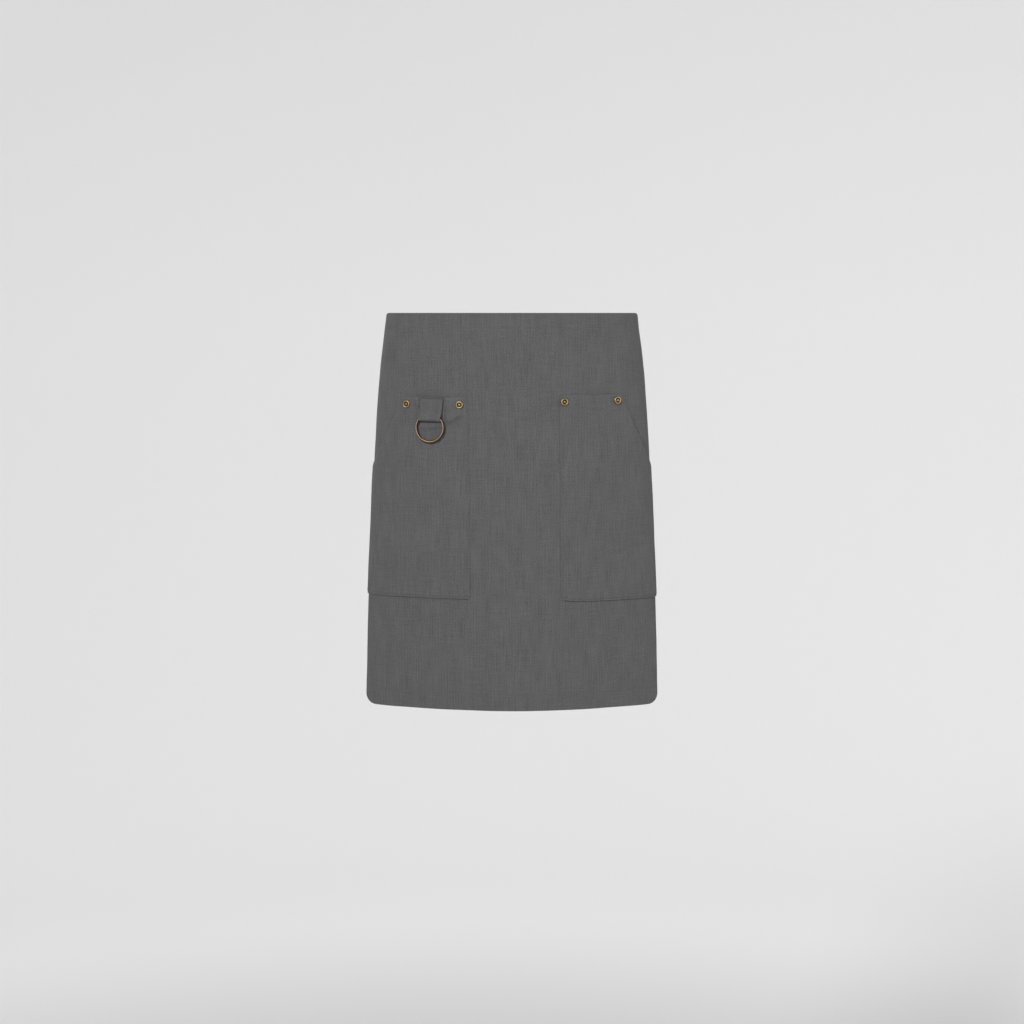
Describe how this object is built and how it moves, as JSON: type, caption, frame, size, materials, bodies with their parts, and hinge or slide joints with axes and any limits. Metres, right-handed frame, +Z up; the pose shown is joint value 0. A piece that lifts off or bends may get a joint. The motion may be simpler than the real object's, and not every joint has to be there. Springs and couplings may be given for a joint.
{
  "type": "waist apron",
  "caption": "Worn waist apron: a curved cloth panel with slant-mouthed patch pockets, capped rivets, a D-ring on a cloth loop and a flat tie round the back.",
  "frame": {"origin": "the middle of the waist opening, level with the panel's top edge", "axes": "+Z up along the wearer, -Y out of the front, +X to the viewer's right"},
  "size_m": [0.3758, 0.227, 0.5],
  "materials": {
    "cloth": "heathered grey cotton twill",
    "rivet": "antique brass",
    "ring": "antique copper plate"
  },
  "bodies": {
    "root": {"panel": "cloth", "pocket_left": "cloth", "pocket_right": "cloth", "ring_loop": "cloth", "waist_tie": "cloth", "rivet_left_outer": "rivet", "rivet_left_inner": "rivet", "rivet_right_inner": "rivet", "rivet_right_outer": "rivet"},
    "d_ring": {"d_ring": "ring"}
  },
  "joints": [
    {"name": "d_ring_swing", "type": "hinge", "parent": "root", "child": "d_ring", "pos_m": [-0.10227, -0.10803, -0.13182], "axis": [-0.9623, 0.2698, 0.0349], "range_deg": [0, 160]}
  ]
}
